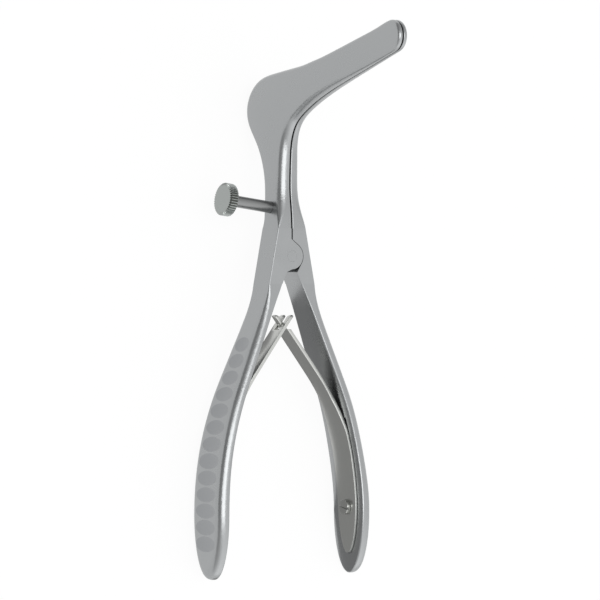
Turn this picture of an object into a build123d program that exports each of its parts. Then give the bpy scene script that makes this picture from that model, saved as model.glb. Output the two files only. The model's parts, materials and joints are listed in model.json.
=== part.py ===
from build123d import *
import math
import os

os.makedirs("parts", exist_ok=True)

# A nasal speculum of forged steel: two arms, each with a blade, a neck, half of the joint and a handle.
# The arms don't cross, so squeezed handles open the blades, and two leaf springs push them shut again.
# X points to the right arm, Y along the shank to the elbow, and Z to the front, where the blades point.
# Until it is laid on its back the pivot's axis is Z and the middle of the joint is the origin.

# Joint: the left arm is a fork of two lugs, and the right arm's tongue lies between them
JOINT_DEPTH = 8.5
PARTING = 0.4
JOINT_HALF_WIDTH = 6.35
JOINT_FLARE = 0.195
JOINT_TOP = 8.0
JOINT_FOOT = -8.0
LUG_RADIUS = 3.8
LUG_SHOULDER_ANGLE = 52.0
LUG_GAP = 0.15
CRESCENT_ANGLE = -30.0
TONGUE_THICKNESS = 3.5
TONGUE_RADIUS = 4.0
TONGUE_SIDE_GAP = 0.1
PIN_DIAMETER = 3.2
PIN_RUNNING_GAP = 0.05
PIN_SEAT_GAP = 0.02
EASED_EDGE = 0.25

# Handles: the inner face runs from the crotch over a knee and a straight to a long bow
CROTCH = (1.85, -4.6)
KNEE = (6.5, -15.3)
INNER_SLOPE = 22.5
BOW_RADIUS = 96.7
GRIP_START = -74.5
GRIP_END_LENGTH = 18.3
HANDLE_WALL = 3.1
HANDLE_END_WALL = 3.5
GRIP_GROWTH_START = -58.0
HANDLE_DEPTH = 15.2
DEPTH_GROWTH = 56.0
HANDLE_SETBACK = 1.35
END_SETBACK = 0.75
HANDLE_ROUND = 2.3
HANDLE_INNER_ROUND = 0.5
ROUND_GROWTH = 16.0

# Finger scallops ground across the outer face of each handle
SCALLOP_COUNT = 13
SCALLOP_START = -25.5
SCALLOP_PITCH = 4.75
SCALLOP_LENGTH = 4.5
SCALLOP_DEPTH = 0.4
SCALLOP_SPAN_SHARE = 0.95

# Neck, elbow and blade: front and back edge in side view, and how thick the steel is
FRONT_EDGE = ((18, 3.3), (27, 3.4), (33.5, 4.25), (37.8, 6.5), (41, 10.8), (44.6, 18.5), (50.2, 35.9))
BACK_EDGE = (
    (18, -5.7), (27.5, -7.6), (35.5, -12.5), (42.5, -16.6),
    (50.3, -12.5), (52.9, -4.5), (54.7, 12), (59.8, 35),
)
NECK_THICKNESS = 3.45
BLADE_THICKNESS = 1.6
BLADE_THINS_FROM = 0.5
ROOT_SHARE = 0.14
NECK_ROUND = 2.5
BLADE_ROUND = 0.95
NECK_CROWN = 80.0
EDGE_FLAT = 0.05
BLADE_CROWN = 40.0
TIP_HEIGHT = 9.0
TIP_CENTRE = (60.4, 54.9)
BLADE_RISE = 16.5
STATIONS = 21
GUTTER_START = 12
GUTTER_RAMP = 3
BLADE_RIM = 1.2
BLADE_WALL = 0.9
EDGE_ROUND = 0.25

# Set screw, square to the sloping outer side of the left neck
SCREW_HEIGHT = 13.7
SCREW_SETBACK = 1.3
SCREW_SLOPE = 7.5
SCREW_DIAMETER = 3.4
SCREW_GAP = 0.05
SCREW_TIP_ROUND = 0.6
SCREW_SHOW = 13.9
SCREW_HEAD_DIAMETER = 9.5
SCREW_HEAD_THICKNESS = 2.8
KNURL_TEETH = 40
KNURL_DEPTH = 0.38
KNURL_CHAMFER = 0.3

# Leaf springs, seated in shallow milled seats in the handles and hooked together by their tips
LEAF_THICKNESS = 1.0
LEAF_SEAT_DEPTH = 0.2
LEAF_SEAT_GAP = 0.25
LEAF_LEAN = 37.5
LEAF_CROSSING = -19.95
LEAF_TIP = -17.0
LEAF_END = -86.9
LEAF_END_LENGTH = 16.0
LEAF_SETBACK = 0.2
LEAF_SKEW = 1.5
LEAF_LEAVES_HANDLE = -57.0
LEAF_SEAT_TOP = -47.0
LEAF_WIDTH = 9.1
LEAF_NECK_WIDTH = 6.2
LEAF_TOP_WIDTH = 5.7
LEAF_TAPER_FOOT = -51.0
LEAF_TAPER_TOP = -41.0
TONGUE_WIDTH = 2.0
TONGUE_SHOULDER = -21.1
FORK_SLOT_WIDTH = 2.4
FORK_SLOT_FOOT = -21.3
PRONG_ROUND = 0.6

# Spring screws, slotted cheese heads that hold each leaf on its handle
CHEESE_PLACE = -73.4
CHEESE_DIAMETER = 4.4
CHEESE_HEIGHT = 1.25
CHEESE_SHANK = 2.4
CHEESE_REACH = 2.2
CHEESE_GAP = 0.05
CHEESE_ROUND = 0.3
CHEESE_SLOT_WIDTH = 0.7
CHEESE_SLOT_DEPTH = 0.6
CHEESE_SLOT_TURN = 20.0

half_gap = PARTING / 2
bow_centre_x = KNEE[0] + math.tan(math.radians(INNER_SLOPE)) * (
    KNEE[1] - GRIP_START - BOW_RADIUS * math.sin(math.radians(INNER_SLOPE))
) - BOW_RADIUS * math.cos(math.radians(INNER_SLOPE))
end_inner_x = bow_centre_x + BOW_RADIUS


def ease(share):
    """Quarter sine from 0 to 1, for sizes that grow and then settle."""
    return math.sin(math.radians(90 * min(max(share, 0), 1)))


def inner_x(y):
    """Inner face of a handle, seen from the front."""
    bow_top = GRIP_START + BOW_RADIUS * math.sin(math.radians(INNER_SLOPE))
    if y > KNEE[1]:
        return KNEE[0] + (KNEE[0] - CROTCH[0]) / (KNEE[1] - CROTCH[1]) * (y - KNEE[1])
    if y > bow_top:
        return KNEE[0] + math.tan(math.radians(INNER_SLOPE)) * (KNEE[1] - y)
    if y > GRIP_START:
        return bow_centre_x + math.sqrt(BOW_RADIUS**2 - (y - GRIP_START) ** 2)
    return end_inner_x


def inner_slope(y):
    """Lean of the inner face of a handle, in degrees from the shank."""
    step = 0.01
    return math.degrees(math.atan2(inner_x(y - step) - inner_x(y + step), 2 * step))


def joint_outer_x(y):
    """Outer face of the joint, a plane that flares towards the handles."""
    return JOINT_HALF_WIDTH - JOINT_FLARE * y


def grip_growth(y):
    """Share of the change from a handle's middle to its grip, where it is thicker and lies less far back."""
    return ease((GRIP_GROWTH_START - y) / (GRIP_GROWTH_START - GRIP_START))


def outer_x(y):
    """Outer face of a handle, which grows out of the joint's outer face."""
    wall = HANDLE_WALL + (HANDLE_END_WALL - HANDLE_WALL) * grip_growth(y)
    return max(joint_outer_x(y), inner_x(y) + wall / math.cos(math.radians(inner_slope(y))))


def handle_depth(y):
    """Depth of a handle from front to back."""
    return JOINT_DEPTH + (HANDLE_DEPTH - JOINT_DEPTH) * ease((JOINT_FOOT - y) / DEPTH_GROWTH)


def handle_middle(y):
    """Height of the middle of a handle's depth, which drifts back from the joint's and then half returns."""
    back = HANDLE_SETBACK * ease((JOINT_FOOT - y) / DEPTH_GROWTH)
    return (HANDLE_SETBACK - END_SETBACK) * grip_growth(y) - back


def handle_section(y):
    """Cross-section of a handle, a bar with large outer and small inner roundings."""
    growth = ease((JOINT_FOOT - y) / ROUND_GROWTH)
    outer_round = EASED_EDGE + (HANDLE_ROUND - EASED_EDGE) * growth
    inner_round = EASED_EDGE + (HANDLE_INNER_ROUND - EASED_EDGE) * growth
    width = outer_x(y) - inner_x(y)
    bar = Rectangle(width, handle_depth(y))
    corners = bar.vertices().group_by(Axis.X)
    bar = fillet(corners[-1], outer_round)
    bar = fillet(bar.vertices().group_by(Axis.X)[0], inner_round)
    plane = Plane(origin=(0, y, 0), x_dir=(1, 0, 0), z_dir=(0, -1, 0))
    return plane * Pos((inner_x(y) + outer_x(y)) / 2, handle_middle(y)) * bar


def handle_end():
    """Rounded lower end of a handle, half an ellipse in side view."""
    depth = handle_depth(GRIP_START)
    oval = Ellipse(GRIP_END_LENGTH, depth / 2)
    lower_half = Pos(-GRIP_END_LENGTH / 2, 0) * Rectangle(GRIP_END_LENGTH, depth)
    start = (end_inner_x, GRIP_START, handle_middle(GRIP_START))
    plane = Plane(origin=start, x_dir=(0, 1, 0), z_dir=(1, 0, 0))
    end = extrude(plane * (oval & lower_half), outer_x(GRIP_START) - end_inner_x)
    faces = end.faces().sort_by(Axis.X)
    rim = faces[-1].edges().sort_by(Axis.Y)[0]
    end = fillet(rim, HANDLE_ROUND)
    inner_rim = end.faces().sort_by(Axis.X)[0].edges().sort_by(Axis.Y)[0]
    return fillet(inner_rim, HANDLE_INNER_ROUND)


def scallops():
    """Shallow barrel-shaped cuts across the outer face of a handle."""
    cut_radius = (SCALLOP_LENGTH**2 / 4 + SCALLOP_DEPTH**2) / (2 * SCALLOP_DEPTH)
    cuts = []
    for i in range(SCALLOP_COUNT):
        y = SCALLOP_START - i * SCALLOP_PITCH
        flat = (handle_depth(y) - 2 * HANDLE_ROUND) * SCALLOP_SPAN_SHARE
        barrel_radius = (flat**2 / 4 + SCALLOP_DEPTH**2) / (2 * SCALLOP_DEPTH)
        bulge = ThreePointArc(
            (cut_radius - SCALLOP_DEPTH, -flat / 2), (cut_radius, 0), (cut_radius - SCALLOP_DEPTH, flat / 2)
        )
        half = make_face(
            bulge
            + Line((cut_radius - SCALLOP_DEPTH, flat / 2), (0, flat / 2))
            + Line((0, flat / 2), (0, -flat / 2))
            + Line((0, -flat / 2), (cut_radius - SCALLOP_DEPTH, -flat / 2))
        )
        barrel = revolve(Plane.XZ * half, Axis.Z)
        lean = math.radians(inner_slope(y))
        reach = cut_radius - SCALLOP_DEPTH
        cuts.append(
            Pos(outer_x(y) + reach * math.cos(lean), y + reach * math.sin(lean), handle_middle(y)) * barrel
        )
    return cuts


def tip_points():
    """Front and back end of the blade's last section, where its domed tip begins."""
    rise = math.radians(BLADE_RISE)
    across = (TIP_HEIGHT / 2 * math.cos(rise), -TIP_HEIGHT / 2 * math.sin(rise))
    front = (TIP_CENTRE[0] - across[0], TIP_CENTRE[1] - across[1])
    back = (TIP_CENTRE[0] + across[0], TIP_CENTRE[1] + across[1])
    return front, back


def side_edges():
    """Front and back edge of neck, elbow and blade in side view."""
    front_tip, back_tip = tip_points()
    rise = math.radians(BLADE_RISE)
    along = (math.sin(rise), math.cos(rise))
    joint_side = JOINT_DEPTH / 2
    front = Spline((JOINT_TOP, joint_side), *FRONT_EDGE, front_tip, tangents=((1, 0), along))
    back = Spline((JOINT_TOP, -joint_side), *BACK_EDGE, back_tip, tangents=((1, 0), along))
    return front, back


def station(share):
    """Plane, height, thickness, rounding and crown of the section at a share of both edges."""
    front, back = side_edges()
    start, end = front @ share, back @ share
    start, end = Vector(half_gap, start.X, start.Y), Vector(half_gap, end.X, end.Y)
    plane = Plane(origin=start, x_dir=(1, 0, 0), z_dir=Vector(1, 0, 0).cross(end - start))
    thin = min(max((share - BLADE_THINS_FROM) / (1 - BLADE_THINS_FROM), 0), 1)
    thin = thin * thin * (3 - 2 * thin)
    root = 1 - ease(share / ROOT_SHARE)
    neck = NECK_THICKNESS + (BLADE_THICKNESS - NECK_THICKNESS) * thin
    thickness = neck + (joint_outer_x(JOINT_TOP) - half_gap - neck) * root
    settled_corner = NECK_ROUND + (BLADE_ROUND - NECK_ROUND) * thin
    corner = settled_corner + (EASED_EDGE - settled_corner) * root
    crown = (NECK_CROWN + (BLADE_CROWN - NECK_CROWN) * thin) / (1.05 - root)
    height = (end - start).length
    return plane, height, thickness, min(corner, widest_corner(height / 2, thickness, crown)), crown


def widest_corner(middle, thickness, crown):
    """Largest rounding that still leaves a flat edge beside the rounded inner edge."""
    edge_x = crown - thickness + EDGE_ROUND + EDGE_FLAT
    return (crown**2 - middle**2 - edge_x**2) / (2 * (crown - middle))


def crowned_section(share):
    """Section of a blade or neck: flat inside, a crowned outside and rounded corners."""
    plane, height, thickness, corner, crown = station(share)
    middle = height / 2
    crown_centre = thickness - crown
    corner_x = crown_centre + math.sqrt((crown - corner) ** 2 - (middle - corner) ** 2)
    lean = math.atan2(middle - corner, corner_x - crown_centre)
    touch = (crown_centre + crown * math.cos(lean), middle + crown * math.sin(lean))
    half_turn = (math.pi / 2 + lean) / 2
    bend = (corner_x + corner * math.cos(half_turn), height - corner + corner * math.sin(half_turn))
    edge = EDGE_ROUND
    soft = edge * (1 - math.sqrt(0.5))
    outline = (
        Line((edge, height), (corner_x, height))
        + ThreePointArc((corner_x, height), bend, touch)
        + ThreePointArc(touch, (thickness, middle), (touch[0], height - touch[1]))
        + ThreePointArc((touch[0], height - touch[1]), (bend[0], height - bend[1]), (corner_x, 0))
        + Line((corner_x, 0), (edge, 0))
        + ThreePointArc((edge, 0), (soft, soft), (0, edge))
        + Line((0, edge), (0, height - edge))
        + ThreePointArc((0, height - edge), (soft, height - soft), (edge, height))
    )
    return plane * make_face(outline)


def gutter_section(index):
    """Section of the shallow gutter inside a blade, cut through the inner face."""
    plane, height, thickness, corner, crown = station(index / (STATIONS - 1))
    depth = (thickness - BLADE_WALL) * ease((index - GUTTER_START) / GUTTER_RAMP) + 0.05
    below = -0.2
    outline = ThreePointArc((below, BLADE_RIM), (depth, height / 2), (below, height - BLADE_RIM)) + Line(
        (below, height - BLADE_RIM), (below, BLADE_RIM)
    )
    return plane * make_face(outline)


def tip_turn(section):
    """Domed end of a blade, made by turning the back half of its last section round the tip's centre."""
    size = 2 * TIP_HEIGHT
    back_half = section & Pos(0, *TIP_CENTRE) * Rot(90 - BLADE_RISE, 0, 0) * Pos(0, 0, -size / 2) * Box(
        size, size, size
    )
    return revolve(back_half, Axis((0, *TIP_CENTRE), (1, 0, 0)), revolution_arc=180)


def neck_and_blade():
    """Neck, elbow and blade of the right arm, with the gutter inside the blade."""
    sections = [crowned_section(i / (STATIONS - 1)) for i in range(STATIONS)]
    body = loft(sections) + tip_turn(sections[-1])
    hollow = [gutter_section(i) for i in range(GUTTER_START, STATIONS)]
    return body - loft(hollow) - tip_turn(hollow[-1])


def joint_block():
    """Half of the joint with flat front and back, before the lugs, socket or slot are made."""
    crescent = math.radians(CRESCENT_ANGLE)
    socket_radius = LUG_RADIUS + LUG_GAP
    heel = (socket_radius * math.cos(crescent), socket_radius * math.sin(crescent))
    plan = Polyline(
        (half_gap, JOINT_TOP),
        (joint_outer_x(JOINT_TOP), JOINT_TOP),
        (joint_outer_x(JOINT_FOOT), JOINT_FOOT),
        (inner_x(JOINT_FOOT), JOINT_FOOT),
        CROTCH,
        heel,
        (half_gap, heel[1]),
        close=True,
    )
    block = extrude(make_face(plan), JOINT_DEPTH / 2, both=True)
    outer_edges = block.faces().sort_by(Axis.X)[-1].edges().filter_by(Axis.Z, reverse=True)
    return fillet(outer_edges, EASED_EDGE)


def leaf_side_view(x):
    """Frame of a leaf's side view at a distance from the shank, turned a little about the leaf's screw."""
    plane = Plane(origin=(x, 0, -LEAF_SETBACK), x_dir=(0, 1, 0), z_dir=(1, 0, 0))
    return plane.location * Pos(CHEESE_PLACE, 0) * Rot(0, 0, -LEAF_SKEW) * Pos(-CHEESE_PLACE, 0)


def spring_seat(plan_gap):
    """Side view of a leaf's lower part, grown by a gap, as far up as it lies on the handle."""
    width = LEAF_WIDTH + 2 * plan_gap
    foot = LEAF_END + LEAF_END_LENGTH
    top = LEAF_SEAT_TOP
    oval = Pos(foot, 0) * Ellipse(LEAF_END_LENGTH + plan_gap, width / 2)
    strip = Pos((foot + top) / 2, 0) * Rectangle(top - foot, width)
    return extrude(leaf_side_view(0) * (oval + strip), 2 * end_inner_x)


def bow_point(offset, y):
    """Point of the bow at a height, moved outwards by an offset."""
    radius = BOW_RADIUS + offset
    return (bow_centre_x + math.sqrt(radius**2 - (y - GRIP_START) ** 2), y)


def seat_recess():
    """Milled seat for the leaf, as deep as the seat depth below the handle's inner face."""
    top = LEAF_SEAT_TOP
    foot = LEAF_END - LEAF_END_LENGTH
    corner = bow_point(LEAF_SEAT_DEPTH, GRIP_START)
    high = bow_point(LEAF_SEAT_DEPTH, top)
    middle = bow_point(LEAF_SEAT_DEPTH, (GRIP_START + top) / 2)
    plan = make_face(
        Line((0, foot), (corner[0], foot))
        + Line((corner[0], foot), corner)
        + ThreePointArc(corner, middle, high)
        + Line(high, (0, top))
        + Line((0, top), (0, foot))
    )
    return extrude(plan, HANDLE_DEPTH, both=True) & spring_seat(LEAF_SEAT_GAP)


def seat_face_x():
    """Face of the seat where the handle is straight."""
    return end_inner_x + LEAF_SEAT_DEPTH


def handle():
    """Handle of the right arm with its scallops, the leaf's seat and the hole for the leaf's screw."""
    stations = (JOINT_FOOT, -11, KNEE[1], -22, -30, -38, -46, -54, -62, -70, GRIP_START)
    bar = loft([handle_section(y) for y in stations]) + handle_end()
    bore = Cylinder(CHEESE_SHANK / 2 + CHEESE_GAP, 2 * CHEESE_REACH)
    hole = Pos(seat_face_x(), CHEESE_PLACE, -LEAF_SETBACK) * Rot(0, 90, 0) * bore
    return bar - [*scallops(), seat_recess(), hole]


def forging():
    """Everything that both arms share, as the right arm."""
    return joint_block() + neck_and_blade() + handle()


def lug_plan():
    """Outline of a lug: a disc with a straight shoulder that runs up to the parting."""
    turn = math.radians(LUG_SHOULDER_ANGLE)
    touch = (LUG_RADIUS * math.cos(turn), LUG_RADIUS * math.sin(turn))
    top = (LUG_RADIUS + half_gap * math.cos(turn)) / math.sin(turn)
    shoulder = make_face(Polyline((0, 0), touch, (-half_gap, top), (-half_gap, 0), close=True))
    return Circle(LUG_RADIUS) + shoulder


def lug_layers(plan, inner, outer):
    """A plan shape extruded in front of and behind the tongue."""
    front = Pos(0, 0, inner) * extrude(plan, outer - inner)
    return front + mirror(front, Plane.XY)


def right_arm(body):
    """Right arm, with sockets for the lugs and the tongue between them."""
    tongue_side = TONGUE_THICKNESS / 2
    body -= lug_layers(offset(lug_plan(), LUG_GAP), tongue_side, JOINT_DEPTH)
    body += Cylinder(TONGUE_RADIUS, TONGUE_THICKNESS)
    return body - Cylinder(PIN_DIAMETER / 2 + PIN_RUNNING_GAP, JOINT_DEPTH)


def left_arm(body):
    """Left arm, with the two lugs, the slot for the tongue and the set screw's hole."""
    body = mirror(body, Plane.YZ)
    lug_side = TONGUE_THICKNESS / 2 + TONGUE_SIDE_GAP
    side, foot = -TONGUE_RADIUS, CROTCH[1]
    crotch = (-CROTCH[0], foot)
    web = make_face(Polyline((0, 0), (side, 0), (side, foot), crotch, (0, -LUG_RADIUS), close=True))
    body += lug_layers(lug_plan() + web, lug_side, JOINT_DEPTH / 2)
    body -= Cylinder(TONGUE_RADIUS + LUG_GAP, 2 * lug_side)
    body -= Cylinder(PIN_DIAMETER / 2 + PIN_SEAT_GAP, JOINT_DEPTH)
    bore = Cylinder(SCREW_DIAMETER / 2 + SCREW_GAP, 2 * SCREW_SHOW)
    return body - screw_frame() * Rot(0, 90, 0) * bore


def screw_frame():
    """Place of the set screw: its axis is local X, and its tip lies just inside the left arm."""
    return Pos(-PARTING, SCREW_HEIGHT, -SCREW_SETBACK) * Rot(0, 0, -SCREW_SLOPE)


def knurled_disc():
    """Head of the set screw, a disc with straight teeth and chamfered rims."""
    crest = SCREW_HEAD_DIAMETER / 2
    step = math.pi / KNURL_TEETH
    points = []
    for i in range(2 * KNURL_TEETH):
        radius = crest if i % 2 == 0 else crest - KNURL_DEPTH
        points.append((radius * math.cos(i * step), radius * math.sin(i * step)))
    teeth = extrude(make_face(Polyline(*points, close=True)), SCREW_HEAD_THICKNESS / 2, both=True)
    blank = Cylinder(crest, SCREW_HEAD_THICKNESS)
    return teeth & chamfer(blank.edges(), KNURL_CHAMFER)


def set_screw():
    """Thumb screw: a shank with a rounded tip and a knurled head, turned in one piece."""
    neck_side = NECK_THICKNESS / math.cos(math.radians(SCREW_SLOPE))
    length = neck_side + SCREW_SHOW
    shank = Cylinder(SCREW_DIAMETER / 2, length)
    shank = fillet(shank.edges().sort_by(Axis.Z)[-1], SCREW_TIP_ROUND)
    head = Pos(0, 0, -(length + SCREW_HEAD_THICKNESS) / 2) * knurled_disc()
    return screw_frame() * Rot(0, 90, 0) * Pos(0, 0, -length / 2) * (shank + head)


def leaf_bend(offset):
    """Centre, radius and end points of the bend between the seat and the leaf's straight part."""
    lean = math.radians(LEAF_LEAN)
    seat_radius = BOW_RADIUS + LEAF_SEAT_DEPTH - LEAF_THICKNESS / 2
    start = math.asin((LEAF_LEAVES_HANDLE - GRIP_START) / seat_radius)
    start_x = bow_centre_x + seat_radius * math.cos(start)
    run = start_x - (LEAF_CROSSING - LEAF_LEAVES_HANDLE) * math.tan(lean)
    radius = run / (
        (math.cos(start) - math.cos(lean)) - (math.sin(lean) - math.sin(start)) * math.tan(lean)
    )
    centre = (start_x - radius * math.cos(start), LEAF_LEAVES_HANDLE - radius * math.sin(start))

    def point(angle):
        return (
            centre[0] + (radius + offset) * math.cos(angle),
            centre[1] + (radius + offset) * math.sin(angle),
        )

    return point(start), point((start + lean) / 2), point(lean)


def leaf_side(offset):
    """One long face of a leaf seen from the front, from its tip down to its lower end."""
    lean = math.radians(LEAF_LEAN)
    seat_radius = BOW_RADIUS + LEAF_SEAT_DEPTH - LEAF_THICKNESS / 2 + offset
    start = math.asin((LEAF_LEAVES_HANDLE - GRIP_START) / (seat_radius - offset))
    low, middle, high = leaf_bend(offset)
    climb = (LEAF_TIP + 2 - high[1]) / math.cos(lean)
    tip = (high[0] - climb * math.sin(lean), high[1] + climb * math.cos(lean))
    seat_x = bow_centre_x + seat_radius
    half = start / 2
    half_way = (bow_centre_x + seat_radius * math.cos(half), GRIP_START + seat_radius * math.sin(half))
    return tip, (
        Line(tip, high)
        + ThreePointArc(high, middle, low)
        + ThreePointArc(low, half_way, (seat_x, GRIP_START))
        + Line((seat_x, GRIP_START), (seat_x, LEAF_END - 1))
    )


def leaf_blank():
    """Bent strip of a right-hand leaf, before its outline is cut."""
    half = LEAF_THICKNESS / 2
    inner_tip, inner_side = leaf_side(-half)
    outer_tip, outer_side = leaf_side(half)
    face_x = bow_centre_x + BOW_RADIUS + LEAF_SEAT_DEPTH
    foot = Line((face_x - LEAF_THICKNESS, LEAF_END - 1), (face_x, LEAF_END - 1))
    profile = make_face(inner_side + foot + outer_side + Line(outer_tip, inner_tip))
    return extrude(profile, LEAF_WIDTH, both=True)


def leaf_outline(top, top_width):
    """Side view of a leaf up to a height: oval end, wide foot, taper and narrow upper part."""
    foot = LEAF_END + LEAF_END_LENGTH
    oval = Pos(foot, 0) * Ellipse(LEAF_END_LENGTH, LEAF_WIDTH / 2)
    upper = make_face(
        Polyline(
            (foot, -LEAF_WIDTH / 2),
            (LEAF_TAPER_FOOT, -LEAF_WIDTH / 2),
            (LEAF_TAPER_TOP, -LEAF_NECK_WIDTH / 2),
            (top, -top_width / 2),
            (top, top_width / 2),
            (LEAF_TAPER_TOP, LEAF_NECK_WIDTH / 2),
            (LEAF_TAPER_FOOT, LEAF_WIDTH / 2),
            (foot, LEAF_WIDTH / 2),
            close=True,
        )
    )
    return oval + upper


def finished_leaf(outline):
    """A leaf cut to its outline in side view, with the hole for its screw."""
    leaf = leaf_blank() & extrude(leaf_side_view(-end_inner_x) * outline, 3 * end_inner_x)
    bore = Cylinder(CHEESE_SHANK / 2 + CHEESE_GAP, 4 * LEAF_THICKNESS)
    return leaf - Pos(seat_face_x(), CHEESE_PLACE, -LEAF_SETBACK) * Rot(0, 90, 0) * bore


def right_spring():
    """Leaf with a narrow tongue at its tip."""
    reach = LEAF_TIP - TONGUE_SHOULDER
    tongue = Pos(TONGUE_SHOULDER + reach / 2, 0) * Rectangle(reach, TONGUE_WIDTH)
    tongue = fillet(tongue.vertices().group_by(Axis.X)[-1], PRONG_ROUND)
    root = Pos(TONGUE_SHOULDER - reach / 2, 0) * Rectangle(reach, TONGUE_WIDTH)
    return finished_leaf(leaf_outline(TONGUE_SHOULDER, LEAF_TOP_WIDTH) + tongue + root)


def left_spring():
    """Leaf with a forked tip, whose slot holds the other leaf's tongue."""
    outline = leaf_outline(LEAF_TIP, LEAF_TOP_WIDTH)
    reach = LEAF_TIP - FORK_SLOT_FOOT
    slot = Pos(FORK_SLOT_FOOT + reach, 0) * Rectangle(2 * reach, FORK_SLOT_WIDTH)
    outline -= slot
    prongs = outline.vertices().group_by(Axis.X)[-1]
    return mirror(finished_leaf(fillet(prongs, PRONG_ROUND)), Plane.YZ)


def spring_screw():
    """Slotted cheese-head screw of the right handle, with its head on the leaf."""
    head = Pos(0, 0, CHEESE_HEIGHT / 2) * Cylinder(CHEESE_DIAMETER / 2, CHEESE_HEIGHT)
    head = fillet(head.edges().sort_by(Axis.Z)[-1], CHEESE_ROUND)
    slot = Pos(0, 0, CHEESE_HEIGHT) * Box(CHEESE_DIAMETER, CHEESE_SLOT_WIDTH, 2 * CHEESE_SLOT_DEPTH)
    head -= Rot(0, 0, CHEESE_SLOT_TURN) * slot
    reach = LEAF_THICKNESS + CHEESE_REACH - CHEESE_GAP
    shank = Pos(0, 0, -reach / 2) * Cylinder(CHEESE_SHANK / 2, reach)
    head_x, rim_y = bow_point(LEAF_SEAT_DEPTH - LEAF_THICKNESS, CHEESE_PLACE + CHEESE_DIAMETER / 2)
    return Pos(head_x, CHEESE_PLACE, -LEAF_SETBACK) * Rot(0, -90, 0) * (head + shank)


def pivot_pin():
    """Pin of the joint, ground flush with the lugs."""
    return Cylinder(PIN_DIAMETER / 2, JOINT_DEPTH)


def build_pieces():
    """All pieces round the pivot, by name."""
    shared = forging()
    screw = spring_screw()
    return {
        "left_arm": left_arm(shared),
        "right_arm": right_arm(shared),
        "pivot_pin": pivot_pin(),
        "set_screw": set_screw(),
        "left_spring": left_spring(),
        "right_spring": right_spring(),
        "left_spring_screw": mirror(screw, Plane.YZ),
        "right_spring_screw": screw,
    }


def resting_place(pieces):
    """Turn and shift that lay the instrument on the backs of its elbow and handles."""
    elbow = min(BACK_EDGE, key=lambda point: point[1])

    def slope_to(y):
        back = handle_middle(y) - handle_depth(y) / 2
        return math.degrees(math.atan2(back - elbow[1], elbow[0] - y))

    tilt = min(slope_to(y) for y in range(round(GRIP_START), round(JOINT_FOOT)))
    turned = Rot(tilt, 0, 0) * Compound(children=[copy_of for copy_of in pieces.values()])
    box = turned.bounding_box()
    return Pos(0, -box.center().Y, -box.min.Z) * Rot(tilt, 0, 0)


pieces = build_pieces()
place = resting_place({name: Compound(solid.solids()) for name, solid in pieces.items()})
for name, solid in pieces.items():
    laid = place * solid
    laid.label = name
    export_step(laid, f"parts/{name}.step")
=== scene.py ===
import json
import math

import bpy
from mathutils import Matrix, Vector


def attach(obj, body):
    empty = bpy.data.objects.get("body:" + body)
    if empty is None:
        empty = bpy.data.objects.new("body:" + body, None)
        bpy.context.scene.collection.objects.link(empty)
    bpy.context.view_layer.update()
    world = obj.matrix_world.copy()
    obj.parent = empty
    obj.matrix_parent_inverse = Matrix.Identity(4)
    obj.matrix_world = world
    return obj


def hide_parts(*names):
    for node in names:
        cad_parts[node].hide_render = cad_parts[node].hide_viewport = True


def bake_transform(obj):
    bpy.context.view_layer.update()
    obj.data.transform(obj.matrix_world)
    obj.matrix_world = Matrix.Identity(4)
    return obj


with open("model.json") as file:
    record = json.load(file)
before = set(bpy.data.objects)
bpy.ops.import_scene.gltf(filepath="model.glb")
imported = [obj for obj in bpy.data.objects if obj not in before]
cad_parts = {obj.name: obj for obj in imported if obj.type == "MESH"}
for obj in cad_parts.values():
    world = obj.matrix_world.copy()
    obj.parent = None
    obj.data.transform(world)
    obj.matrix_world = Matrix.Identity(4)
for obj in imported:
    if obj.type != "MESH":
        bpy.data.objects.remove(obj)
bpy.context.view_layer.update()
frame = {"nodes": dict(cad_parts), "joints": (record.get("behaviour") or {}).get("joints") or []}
nodes = frame["nodes"]
bpy.ops.object.select_all(action="DESELECT")

# Both arms.
# Each is a single forging of stainless steel, milled flat at the joint, ground smooth elsewhere and brushed
# to an even satin, which mirrors the room softly. Finger scallops are ground across the outer face of the
# handle and keep the rougher finish of the grinding wheel; their darker colour is painted shade for their
# hollows.


def linear(hex_colour):
    """Linear RGBA of an sRGB hex colour."""
    channels = [int(hex_colour[i : i + 2], 16) / 255 for i in (1, 3, 5)]
    return [c / 12.92 if c <= 0.04045 else ((c + 0.055) / 1.055) ** 2.4 for c in channels] + [1]


def add(tree, kind, links=None, **values):
    """Add a node; values sets its inputs and properties, links joins sockets to its inputs."""
    node = tree.nodes.new(kind)
    for key, value in values.items():
        if key in node.inputs:
            node.inputs[key].default_value = value
        else:
            setattr(node, key, value)
    for key, socket in (links or {}).items():
        tree.links.new(socket, node.inputs[key])
    return node


def empty_material(name):
    """A material without nodes."""
    material = bpy.data.materials.new(name)
    material.use_nodes = True
    material.node_tree.nodes.clear()
    return material


CLOUD_MM = 9.0
CLOUD_DARKEST = 0.93
CLOUD_SMOOTHER = 0.03
CLOUD_ROUGHER = 0.05


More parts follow.
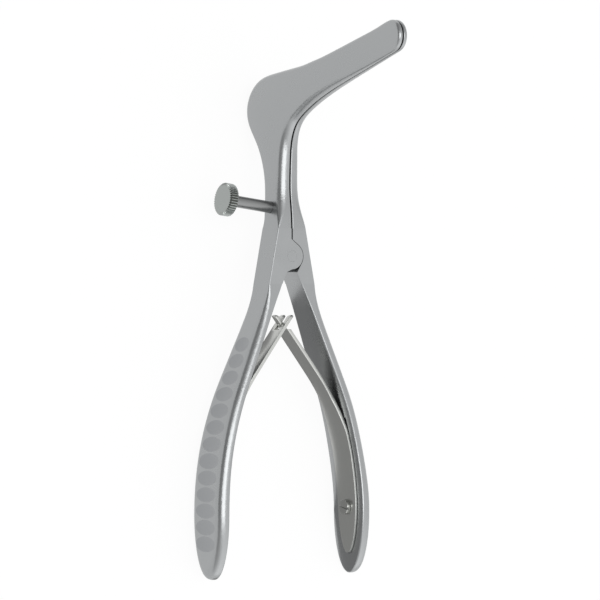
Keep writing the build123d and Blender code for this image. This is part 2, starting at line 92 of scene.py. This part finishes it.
def bare_steel(name, colour, roughness, grain_mm, grain_depth_mm):
    """Bare steel with cloudy patches of its finish, and a grain that is drawn coarser than the real one."""
    material = empty_material(name)
    tree = material.node_tree
    place = add(tree, "ShaderNodeTexCoord").outputs["Object"]
    grain = add(
        tree, "ShaderNodeTexNoise", {"Vector": place}, Scale=1000 / grain_mm, Detail=2.0, Roughness=0.6
    )
    cloud = add(
        tree, "ShaderNodeTexNoise", {"Vector": place}, Scale=1000 / CLOUD_MM, Detail=3.0, Roughness=0.55
    )
    dulled = add(
        tree, "ShaderNodeMapRange", {"Value": cloud.outputs["Fac"]},
        **{
            "From Min": 0.3, "From Max": 0.7,
            "To Min": roughness - CLOUD_SMOOTHER, "To Max": roughness + CLOUD_ROUGHER,
        },
    )
    tint = add(tree, "ShaderNodeMix", {"Factor": cloud.outputs["Fac"]}, data_type="RGBA")
    tint.inputs[6].default_value = [CLOUD_DARKEST * channel for channel in linear(colour)[:3]] + [1]
    tint.inputs[7].default_value = linear(colour)
    bump = add(
        tree, "ShaderNodeBump", {"Height": grain.outputs["Fac"]},
        Distance=grain_depth_mm / 1000, Strength=1.0,
    )
    shader = add(
        tree, "ShaderNodeBsdfPrincipled",
        {
            "Base Color": tint.outputs[2],
            "Roughness": dulled.outputs["Result"],
            "Normal": bump.outputs["Normal"],
        },
        Metallic=1.0,
    )
    add(tree, "ShaderNodeOutputMaterial", {"Surface": shader.outputs["BSDF"]})
    return material


SATIN_STEEL = "#A6A8A9"
# The scallops' steel is rougher, the grinding wheel's real finish, and darker, which is painted shade for
# their hollows.
SCALLOP_STEEL_PAINTED_SHADE = "#9B9D9F"
satin = bare_steel("satin_forged_steel", SATIN_STEEL, roughness=0.28, grain_mm=0.35, grain_depth_mm=0.0004)
scallop_finish_and_painted_shade = bare_steel(
    "wheel_ground_scallop_steel_painted_shade", SCALLOP_STEEL_PAINTED_SHADE, roughness=0.33, grain_mm=0.35, grain_depth_mm=0.0004
)
PAINTED_SHADE_SCALLOP_SLOT = 1
SCALLOP_SHORTEST = 0.0035
SCALLOP_LONGEST = 0.006
SCALLOP_OUTWARDS = 0.7
HANDLE_FROM_X = 0.007
STRAY_SHADING = 0.6


def patches_of(mesh):
    """Patches of a CAD mesh, one for each face of the solid, because it isn't joined from face to face."""
    leader = list(range(len(mesh.vertices)))

    def first_of(index):
        while leader[index] != index:
            index = leader[index]
        return index

    for face in mesh.polygons:
        for index in face.vertices[1:]:
            leader[first_of(index)] = first_of(face.vertices[0])
    patches = {}
    for face in mesh.polygons:
        patches.setdefault(first_of(face.vertices[0]), []).append(face)
    return patches.values()


def finish_and_shade_scallops(mesh, side):
    """Give the finger scallops, short patches of the handle's outer side, the grinding wheel's rougher finish
    and a darker colour, which is painted shade.
    """
    for patch in patches_of(mesh):
        corners = [mesh.vertices[index].co for face in patch for index in face.vertices]
        length = max(corner.y for corner in corners) - min(corner.y for corner in corners)
        area = sum(face.area for face in patch)
        outwards = sum(side * face.normal.x * face.area for face in patch) > SCALLOP_OUTWARDS * area
        on_handle = min(side * corner.x for corner in corners) >= HANDLE_FROM_X
        if outwards and on_handle and SCALLOP_SHORTEST < length < SCALLOP_LONGEST:
            for face in patch:
                face.material_index = PAINTED_SHADE_SCALLOP_SLOT


def ground_forging(name, node, body, side):
    """Copy of an arm in its two finishes, its scallops darker with painted shade, and the stray shading at the
    dome of the blade's tip put right.
    """
    mesh = nodes[node].data.copy()
    arm = bpy.data.objects.new(name, mesh)
    bpy.context.scene.collection.objects.link(arm)
    arm.matrix_world = nodes[node].matrix_world
    shading = [corner.vector.copy() for corner in mesh.corner_normals]
    for face in mesh.polygons:
        for corner in face.loop_indices:
            if shading[corner].angle(face.normal, 0) > STRAY_SHADING:
                shading[corner] = face.normal.copy()
    mesh.normals_split_custom_set(shading)
    mesh.materials.clear()
    mesh.materials.append(satin)
    mesh.materials.append(scallop_finish_and_painted_shade)
    finish_and_shade_scallops(mesh, side)
    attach(arm, body)
    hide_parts(node)


ground_forging("left_forged_arm", "left_arm", "left_half", -1)
ground_forging("right_forged_arm", "right_arm", "right_half", 1)

# Pin of the joint.
# A short steel pin, riveted into the lugs of the left arm and ground flush, so its ends hardly show.

pin_steel = bare_steel("ground_pin_steel", SATIN_STEEL, roughness=0.27, grain_mm=0.35, grain_depth_mm=0.0004)
pin_mesh = nodes["pivot_pin"].data
pin_mesh.materials.clear()
pin_mesh.materials.append(pin_steel)

# Leaf springs.
# Two strips of hardened spring steel, cut out flat and bent cold. Their tips hook together, a tongue in a
# fork, and each foot is screwed to its handle, so the upper parts bend when the handles close. Rolled strip
# is paler and a little warmer than the forgings.

hinge = next(joint for joint in frame["joints"] if joint["name"] == "arm_hinge")
PIVOT = Vector(hinge["pos_m"])
ACROSS = Vector((1, 0, 0))
TO_FRONT = -Vector(hinge["axis"])
TO_ELBOW = TO_FRONT.cross(ACROSS)
INSTRUMENT = Matrix.Translation(PIVOT) @ Matrix((ACROSS, TO_ELBOW, TO_FRONT)).transposed().to_4x4()

LEAF_STEEL = "#C6C7C4"
leaf_steel = bare_steel("rolled_spring_steel", LEAF_STEEL, roughness=0.3, grain_mm=0.3, grain_depth_mm=0.001)
THICKNESS = 0.001
FOOT_X = 0.022754
FOOT_Y = -0.0869
SEAT_Y = -0.0745
SEAT_RADIUS = 0.0964
BEND_Y = -0.057
BEND_RADIUS = 0.05281
STRAIGHT_Y = -0.034437
LEAN = math.radians(37.5)
TIP_Y = -0.017
OVAL_LENGTH = 0.016
FOOT_WIDTH = 0.0091
NECK_WIDTH = 0.0062
TIP_WIDTH = 0.0057
TAPER_FOOT_Y = -0.051
TAPER_TOP_Y = -0.041
SKEW = math.radians(1.5)
SCREW_Y = -0.0734
SCREW_Z = -0.0002
SCREW_HOLE_RADIUS = 0.00125
FORK_Y = -0.0213
FORK_GAP = 0.0024
TONGUE_Y = -0.0211
TONGUE_SIDES_Z = (-0.004, 0.004)
TONGUE_SIDES_WIDTH = 0.006
CUTTER_WIDTH = 0.03
TIP_ROUND = 0.0006
LEAF_EDGE_ROUND = 0.00012
SAME_PLACE = 0.000002
SAME_LEVEL = 0.00001
OVAL_RING_DEGREES = range(6, 91, 7)
PARALLEL_RINGS = 7
BENT_RINGS = 14
STRAIGHT_RINGS = 14


def leaf_turn(y):
    """Lean of a leaf at a height: upright at its foot, then two bends, then straight."""
    if y < SEAT_Y:
        return 0
    if y < BEND_Y:
        return math.asin((y - SEAT_Y) / SEAT_RADIUS)
    if y < STRAIGHT_Y:
        return math.asin((BEND_Y - SEAT_Y) / SEAT_RADIUS + (y - BEND_Y) / BEND_RADIUS)
    return LEAN


def leaf_middle(y, side):
    """Middle of a leaf at a height, in the instrument's own directions."""
    x = FOOT_X - SEAT_RADIUS * (1 - math.cos(leaf_turn(min(y, BEND_Y - 1e-9))))
    if y > BEND_Y:
        x -= BEND_RADIUS * (math.cos(leaf_turn(BEND_Y)) - math.cos(leaf_turn(y)))
    x -= max(y - STRAIGHT_Y, 0) * math.tan(LEAN)
    return Vector((side * x, y, SCREW_Z - math.tan(SKEW) * (y - SCREW_Y)))


def leaf_width(y):
    """Width of a leaf at a height: an oval foot, a parallel part, a taper and a narrow upper part."""
    above_foot = (y - FOOT_Y) / OVAL_LENGTH
    if above_foot < 1:
        return FOOT_WIDTH * math.sqrt(1 - (1 - above_foot) ** 2)
    if y < TAPER_TOP_Y:
        taper = max(y - TAPER_FOOT_Y, 0) / (TAPER_TOP_Y - TAPER_FOOT_Y)
        return FOOT_WIDTH + (NECK_WIDTH - FOOT_WIDTH) * taper
    return NECK_WIDTH + (TIP_WIDTH - NECK_WIDTH) * (y - TAPER_TOP_Y) / (TIP_Y - TAPER_TOP_Y)


def bent_strip(name, side):
    """Strip of a leaf, drawn ring by ring from its foot to its tip."""
    oval_top = FOOT_Y + OVAL_LENGTH
    heights = [oval_top - OVAL_LENGTH * math.cos(math.radians(angle)) for angle in OVAL_RING_DEGREES]
    stretches = (
        (oval_top, BEND_Y, PARALLEL_RINGS),
        (BEND_Y, STRAIGHT_Y, BENT_RINGS),
        (STRAIGHT_Y, TIP_Y, STRAIGHT_RINGS),
    )
    for start, end, rings in stretches:
        heights += [start + (end - start) * (i + 1) / rings for i in range(rings)]
    bpy.ops.object.select_all(action="DESELECT")
    bpy.ops.mesh.primitive_plane_add(size=1, rotation=(math.radians(90), 0, 0))
    strip = bpy.context.object
    strip.name = name
    bpy.ops.object.transform_apply(location=True, rotation=True, scale=True)
    bpy.ops.object.mode_set(mode="EDIT")
    bpy.ops.mesh.select_all(action="SELECT")
    bpy.ops.transform.resize(value=(THICKNESS, 1, leaf_width(heights[0])))
    bpy.ops.transform.translate(value=leaf_middle(heights[0], side))
    for below, height in zip(heights, heights[1:]):
        ring = leaf_middle(height, side)
        bpy.ops.mesh.extrude_region_move(TRANSFORM_OT_translate={"value": ring - leaf_middle(below, side)})
        bpy.ops.transform.resize(value=(1, 1, leaf_width(height) / leaf_width(below)), center_override=ring)
        turn = side * (leaf_turn(height) - leaf_turn(below))
        bpy.ops.transform.rotate(value=-turn, orient_axis="Z", center_override=ring)
    bpy.ops.transform.resize(value=(1 / math.cos(LEAN) ** 2, 0, 1), center_override=ring)
    bpy.ops.mesh.select_all(action="SELECT")
    bpy.ops.mesh.normals_make_consistent(inside=False)
    bpy.ops.object.mode_set(mode="OBJECT")
    return strip


def cut_away(piece, cutter):
    """Cut the cutter's shape out of a piece."""
    cut = piece.modifiers.new("cut", "BOOLEAN")
    cut.operation = "DIFFERENCE"
    cut.object = cutter
    bpy.context.view_layer.objects.active = piece
    bpy.ops.object.modifier_apply(modifier="cut")
    bpy.data.objects.remove(cutter)


def cut_block(leaf, foot_y, middle_z, width):
    """Cut everything above a height out of a leaf, as wide as a block that is turned by the leaf's skew."""
    reach = 2 * (TIP_Y - foot_y)
    place = leaf_middle(foot_y + reach / 2, 1)
    bpy.ops.mesh.primitive_cube_add(
        size=1, location=(0, place.y, place.z + middle_z), rotation=(-SKEW, 0, 0),
        scale=(CUTTER_WIDTH, reach, width),
    )
    cut_away(leaf, bpy.context.object)


def break_edges(piece, width):
    """Break the sharp edges of the active piece with a narrow round."""
    broken = piece.modifiers.new("broken_edges", "BEVEL")
    broken.width = width
    broken.segments = 2
    broken.limit_method = "ANGLE"
    broken.angle_limit = math.radians(40)
    bpy.ops.object.modifier_apply(modifier="broken_edges")


def settle(piece, place, crease_degrees):
    """Move the active piece to its place, keep the place in its mesh, and smooth all but its creases."""
    bpy.ops.object.select_all(action="DESELECT")
    piece.select_set(True)
    piece.matrix_world = place
    bpy.ops.object.transform_apply(location=True, rotation=True, scale=True)
    bpy.ops.object.shade_smooth_by_angle(angle=math.radians(crease_degrees))
    piece.select_set(False)


def finish_leaf(leaf, node, side):
    """Drill a leaf for its screw, round its tips, break its edges, give it its steel and set it in place
    between both handles, hiding the CAD spring.
    """
    bpy.ops.mesh.primitive_cylinder_add(
        radius=SCREW_HOLE_RADIUS, depth=5 * THICKNESS, location=leaf_middle(SCREW_Y, side),
        rotation=(0, math.radians(90), 0),
    )
    cut_away(leaf, bpy.context.object)
    bpy.ops.object.select_all(action="DESELECT")
    leaf.select_set(True)
    bpy.ops.object.mode_set(mode="EDIT")
    bpy.ops.mesh.select_all(action="SELECT")
    bpy.ops.mesh.remove_doubles(threshold=SAME_PLACE)
    bpy.ops.mesh.select_all(action="DESELECT")
    bpy.ops.object.mode_set(mode="OBJECT")
    for edge in leaf.data.edges:
        ends = [leaf.data.vertices[index].co for index in edge.vertices]
        level = abs(ends[0].z - ends[1].z) < SAME_LEVEL
        across = level and (ends[0] - ends[1]).length < 1.5 * THICKNESS
        edge.select = across and min(ends[0].y, ends[1].y) > TIP_Y - THICKNESS
    bpy.ops.object.mode_set(mode="EDIT")
    bpy.ops.mesh.select_mode(type="EDGE")
    bpy.ops.mesh.bevel(offset=TIP_ROUND, segments=4)
    bpy.ops.mesh.select_mode(type="VERT")
    bpy.ops.object.mode_set(mode="OBJECT")
    break_edges(leaf, LEAF_EDGE_ROUND)
    settle(leaf, INSTRUMENT, 30)
    leaf.data.materials.append(leaf_steel)
    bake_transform(leaf)
    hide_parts(node)


forked_leaf = bent_strip("left_leaf_with_fork", -1)
cut_block(forked_leaf, FORK_Y, 0, FORK_GAP)
finish_leaf(forked_leaf, "left_spring", -1)
tongued_leaf = bent_strip("right_leaf_with_tongue", 1)
for beside_tongue in TONGUE_SIDES_Z:
    cut_block(tongued_leaf, TONGUE_Y, beside_tongue, TONGUE_SIDES_WIDTH)
finish_leaf(tongued_leaf, "right_spring", 1)

# Screws of the leaf springs.
# Small slotted cheese-head screws, turned from bar with the slot milled across the head. Each holds a leaf's
# foot on the inner face of its handle, and their turned rims catch the light.

SCREW_STEEL = "#B9BAB7"
screw_steel = bare_steel("small_screw_steel", SCREW_STEEL, roughness=0.24, grain_mm=0.2, grain_depth_mm=0.0008)
HEAD_BASE_X = 0.022197
HEAD_RADIUS = 0.0022
HEAD_HEIGHT = 0.00125
RIM_ROUND = 0.0003
SHANK_RADIUS = 0.0012
SHANK_LENGTH = 0.00315
SLOT_WIDTH = 0.0007
SLOT_DEPTH = 0.0006
SLOT_TURN = math.radians(-10)
HEAD_EDGE_ROUND = 0.00006


def select_level(piece, z):
    """Go into edit mode with only the edges of a piece at one height selected."""
    bpy.ops.object.select_all(action="DESELECT")
    piece.select_set(True)
    bpy.context.view_layer.objects.active = piece
    for face in piece.data.polygons:
        face.select = False
    for vertex in piece.data.vertices:
        vertex.select = False
    for edge in piece.data.edges:
        edge.select = all(abs(piece.data.vertices[index].co.z - z) < SAME_LEVEL for index in edge.vertices)
    bpy.ops.object.mode_set(mode="EDIT")
    bpy.ops.mesh.select_mode(type="EDGE")


def slotted_screw(name, body, node, side):
    """Turn a slotted screw head upward round the vertical, and set it on the leaf of one side."""
    bpy.ops.mesh.primitive_cylinder_add(
        vertices=64, radius=HEAD_RADIUS, depth=HEAD_HEIGHT, location=(0, 0, HEAD_HEIGHT / 2)
    )
    screw = bpy.context.object
    screw.name = name
    bpy.ops.object.transform_apply(location=True, rotation=True, scale=True)
    select_level(screw, 0)
    bpy.ops.mesh.select_mode(type="FACE")
    bpy.ops.mesh.inset(thickness=HEAD_RADIUS - SHANK_RADIUS)
    bpy.ops.mesh.extrude_region_move(TRANSFORM_OT_translate={"value": (0, 0, -SHANK_LENGTH)})
    bpy.ops.object.mode_set(mode="OBJECT")
    select_level(screw, HEAD_HEIGHT)
    bpy.ops.mesh.bevel(offset=RIM_ROUND, segments=4)
    bpy.ops.mesh.select_mode(type="VERT")
    bpy.ops.object.mode_set(mode="OBJECT")
    bpy.ops.mesh.primitive_cube_add(
        size=1, location=(0, 0, HEAD_HEIGHT), scale=(3 * HEAD_RADIUS, SLOT_WIDTH, 2 * SLOT_DEPTH),
        rotation=(0, 0, SLOT_TURN),
    )
    cut_away(screw, bpy.context.object)
    break_edges(screw, HEAD_EDGE_ROUND)
    place = Vector((side * HEAD_BASE_X, SCREW_Y, SCREW_Z))
    turn = Matrix.Rotation(-side * math.pi / 2, 4, "Y")
    settle(screw, INSTRUMENT @ Matrix.Translation(place) @ turn, 30)
    screw.data.materials.append(screw_steel)
    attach(screw, body)
    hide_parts(node)


slotted_screw("left_cheese_head_screw", "left_half", "left_spring_screw", -1)
slotted_screw("right_cheese_head_screw", "right_half", "right_spring_screw", 1)

# Set screw.
# A thumb screw turned from bar in one piece: a plain, duller shank with a rounded tip, and a knob with
# straight knurling, whose groove floors are coloured darker: painted shade in the grooves.

TURNED_STEEL = "#A2A6A4"
STEM_STEEL = "#8E8F8F"
# Darker steel for the floors of the knurl's grooves: painted shade in the grooves.
KNURL_GROOVE_PAINTED_SHADE = "#5C5D59"
set_screw_steels = (
    bare_steel("turned_screw_steel", TURNED_STEEL, roughness=0.27, grain_mm=0.25, grain_depth_mm=0.0008),
    bare_steel("knurl_groove_painted_shade_steel", KNURL_GROOVE_PAINTED_SHADE, roughness=0.35, grain_mm=0.25, grain_depth_mm=0.0008),
    bare_steel("duller_stem_steel", STEM_STEEL, roughness=0.34, grain_mm=0.25, grain_depth_mm=0.0008),
)
PAINTED_SHADE_GROOVES = 1
DULLER = 2
SCREW_PLACE = Vector((-0.0004, 0.0137, -0.0013))
SCREW_SLOPE = math.radians(7.5)
REACH = 0.01738
STEM_RADIUS = 0.0017
STEM_ROUND = 0.0006
KNOB_RADIUS = 0.00475
KNOB_THICKNESS = 0.0028
KNOB_CHAMFER = 0.0003
KNURL_TEETH = 40
KNURL_DEPTH = 0.00038
STEPS_PER_TOOTH = 4
GROOVE_STEPS = (2, 3)
CHAMFER_SHARE = 0.92

knob_middle = -REACH - KNOB_THICKNESS / 2
bpy.ops.mesh.primitive_cylinder_add(
    vertices=STEPS_PER_TOOTH * KNURL_TEETH, radius=KNOB_RADIUS, depth=KNOB_THICKNESS - 2 * KNOB_CHAMFER,
    location=(0, 0, knob_middle),
)
knob = bpy.context.object
bpy.ops.object.transform_apply(location=True, rotation=True, scale=True)
for steel in set_screw_steels:
    knob.data.materials.append(steel)
for face in knob.data.polygons:
    face.select = False
for edge in knob.data.edges:
    edge.select = False
for vertex in knob.data.vertices:
    turn = math.atan2(vertex.co.y, vertex.co.x) / (2 * math.pi)
    vertex.select = round(turn * STEPS_PER_TOOTH * KNURL_TEETH) % STEPS_PER_TOOTH in GROOVE_STEPS
# Faces whose corners all lie in a groove get the painted shade.
for face in knob.data.polygons:
    if all(knob.data.vertices[index].select for index in face.vertices):
        face.material_index = PAINTED_SHADE_GROOVES
bpy.ops.object.mode_set(mode="EDIT")
bpy.ops.mesh.select_mode(type="VERT")
floor_share = 1 - KNURL_DEPTH / KNOB_RADIUS
bpy.ops.transform.resize(value=(floor_share, floor_share, 1), center_override=(0, 0, knob_middle))
bpy.ops.object.mode_set(mode="OBJECT")
for end in (-1, 1):
    select_level(knob, knob_middle + end * (KNOB_THICKNESS / 2 - KNOB_CHAMFER))
    bpy.ops.mesh.select_mode(type="FACE")
    bpy.ops.mesh.extrude_region_move(TRANSFORM_OT_translate={"value": (0, 0, end * KNOB_CHAMFER)})
    bpy.ops.transform.resize(value=(CHAMFER_SHARE, CHAMFER_SHARE, 1), center_override=(0, 0, knob_middle))
    bpy.ops.mesh.select_mode(type="VERT")
    bpy.ops.object.mode_set(mode="OBJECT")
bpy.ops.mesh.primitive_cylinder_add(
    vertices=64, radius=STEM_RADIUS, depth=REACH + KNOB_THICKNESS / 2, location=(0, 0, knob_middle / 2)
)
set_screw = bpy.context.object
set_screw.name = "turned_set_screw"
bpy.ops.object.transform_apply(location=True, rotation=True, scale=True)
select_level(set_screw, 0)
bpy.ops.mesh.bevel(offset=STEM_ROUND, segments=5)
bpy.ops.mesh.select_mode(type="VERT")
bpy.ops.object.mode_set(mode="OBJECT")
for steel in set_screw_steels:
    set_screw.data.materials.append(steel)
for face in set_screw.data.polygons:
    face.material_index = DULLER
fused = set_screw.modifiers.new("one_piece", "BOOLEAN")
fused.operation = "UNION"
fused.object = knob
bpy.ops.object.modifier_apply(modifier="one_piece")
bpy.data.objects.remove(knob)
turn = Matrix.Rotation(-SCREW_SLOPE, 4, "Z") @ Matrix.Rotation(math.pi / 2, 4, "Y")
settle(set_screw, INSTRUMENT @ Matrix.Translation(SCREW_PLACE) @ turn, 25)
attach(set_screw, "thumb_screw")
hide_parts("set_screw")

# Table.
# A white studio table, seamless to the picture's edges. The camera and the steel both see it white, and its
# small matt share keeps a faint shadow of the instrument.

TABLE_SIZE = 6
TABLE_WHITE = "#FBFBFB"
GLOWING_SHARE = 0.92

bpy.ops.mesh.primitive_plane_add(size=TABLE_SIZE, location=(0, 0, 0))
table = bpy.context.object
table.name = "white_table"
table_white = empty_material("matt_white_table")
tree = table_white.node_tree
ray = add(tree, "ShaderNodeLightPath")
mirrored = add(
    tree, "ShaderNodeMath",
    {0: ray.outputs["Is Glossy Ray"], 1: ray.outputs["Is Transmission Ray"]},
    operation="MAXIMUM",
)
seen = add(
    tree, "ShaderNodeMath",
    {0: ray.outputs["Is Camera Ray"], 1: mirrored.outputs["Value"]},
    operation="MAXIMUM",
)
share = add(tree, "ShaderNodeMath", {0: seen.outputs["Value"]}, operation="MULTIPLY")
share.inputs[1].default_value = GLOWING_SHARE
matt = add(tree, "ShaderNodeBsdfDiffuse", Color=linear(TABLE_WHITE))
glow = add(tree, "ShaderNodeEmission", Color=(1, 1, 1, 1), Strength=1.0)
mixed = add(tree, "ShaderNodeMixShader", {0: share.outputs["Value"]})
tree.links.new(matt.outputs["BSDF"], mixed.inputs[1])
tree.links.new(glow.outputs["Emission"], mixed.inputs[2])
add(tree, "ShaderNodeOutputMaterial", {"Surface": mixed.outputs["Shader"]})
table.data.materials.append(table_white)

# Lights.
# One large softbox hangs over the instrument. The walls of the studio are grey, darker to the left and beyond
# the elbow. Only the steel sees a dark flag between the handles, a dim glowing sheet that stands in for the
# shade there: their inner faces and the leaves mirror it as painted shade.

SOFTBOX_DIRECTION = Vector((-0.27, 0.0, 0.96))
SOFTBOX_DISTANCE = 1.6
SOFTBOX_SIZE = (0.85, 1.5)
SOFTBOX_RADIANCE = 2.1
FLAG_ROWS = ((0.016, 0.0), (0.022, -0.015), (0.036, -0.035), (0.046, -0.058), (0.04, -0.09))
FLAG_FIRST_ROW = 0.0001
FLAG_ABOVE_TABLE = 0.0005
FLAG_PAINTED_SHADE_GLOW = 0.35
WALL_GREY = {"From Min": -0.95, "From Max": 0.2, "To Min": 0.4, "To Max": 1.0}
DARKER_BEYOND_ELBOW = 0.5

softbox_data = bpy.data.lights.new("overhead_softbox", "AREA")
softbox_data.shape = "RECTANGLE"
softbox_data.size, softbox_data.size_y = SOFTBOX_SIZE
softbox_data.energy = SOFTBOX_RADIANCE * math.pi * SOFTBOX_SIZE[0] * SOFTBOX_SIZE[1]
softbox = bpy.data.objects.new("overhead_softbox", softbox_data)
bpy.context.scene.collection.objects.link(softbox)
softbox.location = SOFTBOX_DIRECTION.normalized() * SOFTBOX_DISTANCE
softbox.rotation_euler = SOFTBOX_DIRECTION.to_track_quat("Z", "Y").to_euler()

bpy.ops.mesh.primitive_plane_add(size=1)
flag = bpy.context.object
flag.name = "dark_painted_shade_flag"
bpy.ops.object.mode_set(mode="EDIT")
bpy.ops.mesh.select_mode(type="EDGE")
bpy.ops.mesh.select_all(action="SELECT")
bpy.ops.transform.resize(value=(FLAG_ROWS[0][0], FLAG_FIRST_ROW, 1))
bpy.ops.transform.translate(value=(0, FLAG_ROWS[0][1], FLAG_ABOVE_TABLE))
bpy.ops.mesh.select_all(action="DESELECT")
bpy.ops.object.mode_set(mode="OBJECT")
for edge in flag.data.edges:
    edge.select = all(flag.data.vertices[index].co.y < 0 for index in edge.vertices)
bpy.ops.object.mode_set(mode="EDIT")
for (width, y), (next_width, next_y) in zip(FLAG_ROWS, FLAG_ROWS[1:]):
    bpy.ops.mesh.extrude_region_move(TRANSFORM_OT_translate={"value": (0, next_y - y, 0)})
    bpy.ops.transform.resize(value=(next_width / width, 1, 1), center_override=(0, next_y, 0))
bpy.ops.mesh.select_mode(type="VERT")
bpy.ops.object.mode_set(mode="OBJECT")
# The flag glows dimly and is no lamp: painted shade for the gap between the handles, which only the steel
# mirrors.
flag_painted_shade_glow = empty_material("flag_painted_shade_glow")
tree = flag_painted_shade_glow.node_tree
shade_glow = add(tree, "ShaderNodeEmission", Color=(1, 1, 1, 1), Strength=FLAG_PAINTED_SHADE_GLOW)
add(tree, "ShaderNodeOutputMaterial", {"Surface": shade_glow.outputs["Emission"]})
flag.data.materials.append(flag_painted_shade_glow)
flag.visible_camera = False
flag.visible_diffuse = False
flag.visible_shadow = False

world = bpy.data.worlds.new("grey_studio")
bpy.context.scene.world = world
world.use_nodes = True
tree = world.node_tree
tree.nodes.clear()
facing = add(tree, "ShaderNodeTexCoord").outputs["Generated"]
split = add(tree, "ShaderNodeSeparateXYZ", {"Vector": facing})
wall = add(tree, "ShaderNodeMapRange", {"Value": split.outputs["X"]}, **WALL_GREY)
towards_foot = add(tree, "ShaderNodeMath", {0: split.outputs["Y"]}, operation="MULTIPLY_ADD")
towards_foot.inputs[1].default_value = -DARKER_BEYOND_ELBOW
towards_foot.inputs[2].default_value = 1.0
walls = add(
    tree, "ShaderNodeMath",
    {0: wall.outputs["Result"], 1: towards_foot.outputs["Value"]},
    operation="MULTIPLY",
)
room = add(tree, "ShaderNodeBackground", {"Strength": walls.outputs["Value"]}, Color=(1, 1, 1, 1))
add(tree, "ShaderNodeOutputWorld", {"Surface": room.outputs["Background"]})

# Camera.
# It looks down at the lying instrument from its left and front, with the shank upright in the picture.

CAMERA_TURN = math.radians(34)
CAMERA_DISTANCE = 1.0
SENSOR_WIDTH_MM = 36
PICTURE_PIXELS = 600
PIXELS_PER_METRE = 3448
PIVOT_IN_PICTURE = (284.0, 256.3)
to_camera = -math.sin(CAMERA_TURN) * ACROSS + math.cos(CAMERA_TURN) * TO_FRONT
to_right = math.cos(CAMERA_TURN) * ACROSS + math.sin(CAMERA_TURN) * TO_FRONT
target = (
    PIVOT
    + to_right * (PICTURE_PIXELS / 2 - PIVOT_IN_PICTURE[0]) / PIXELS_PER_METRE
    - TO_ELBOW * (PICTURE_PIXELS / 2 - PIVOT_IN_PICTURE[1]) / PIXELS_PER_METRE
)
camera_data = bpy.data.cameras.new("camera")
camera_data.sensor_width = SENSOR_WIDTH_MM
camera_data.lens = SENSOR_WIDTH_MM * CAMERA_DISTANCE * PIXELS_PER_METRE / PICTURE_PIXELS
camera = bpy.data.objects.new("camera", camera_data)
bpy.context.scene.collection.objects.link(camera)
camera.matrix_world = Matrix.Translation(target + to_camera * CAMERA_DISTANCE) @ Matrix(
    (to_right, TO_ELBOW, to_camera)
).transposed().to_4x4()
bpy.context.scene.camera = camera
bpy.context.scene.view_settings.view_transform = "Standard"
